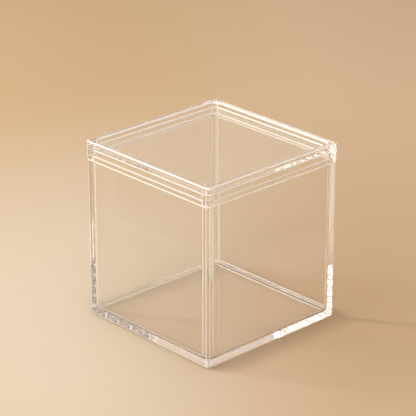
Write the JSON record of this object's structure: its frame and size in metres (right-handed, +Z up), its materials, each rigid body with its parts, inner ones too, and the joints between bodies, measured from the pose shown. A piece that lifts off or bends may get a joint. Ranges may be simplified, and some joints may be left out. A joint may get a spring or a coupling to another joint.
{
  "type": "lidded box",
  "caption": "Square clear acrylic storage box with thick walls and a lift-off lid whose skirt laps over the tub's rim.",
  "frame": {"origin": "middle of the closed box's underside, on the ground plane", "axes": "+Z up through the lid, which is the longest extent; +X and +Y are square to the four walls"},
  "size_m": [0.1, 0.1, 0.107],
  "materials": {
    "clear_acrylic": "polished"
  },
  "bodies": {
    "tub": {"tub": "clear_acrylic"},
    "lid": {"lid": "clear_acrylic"}
  },
  "joints": [
    {"name": "lid_lift", "type": "slide", "parent": "tub", "child": "lid", "axis": [0, 0, 1], "range_m": [0, 0.06]}
  ]
}
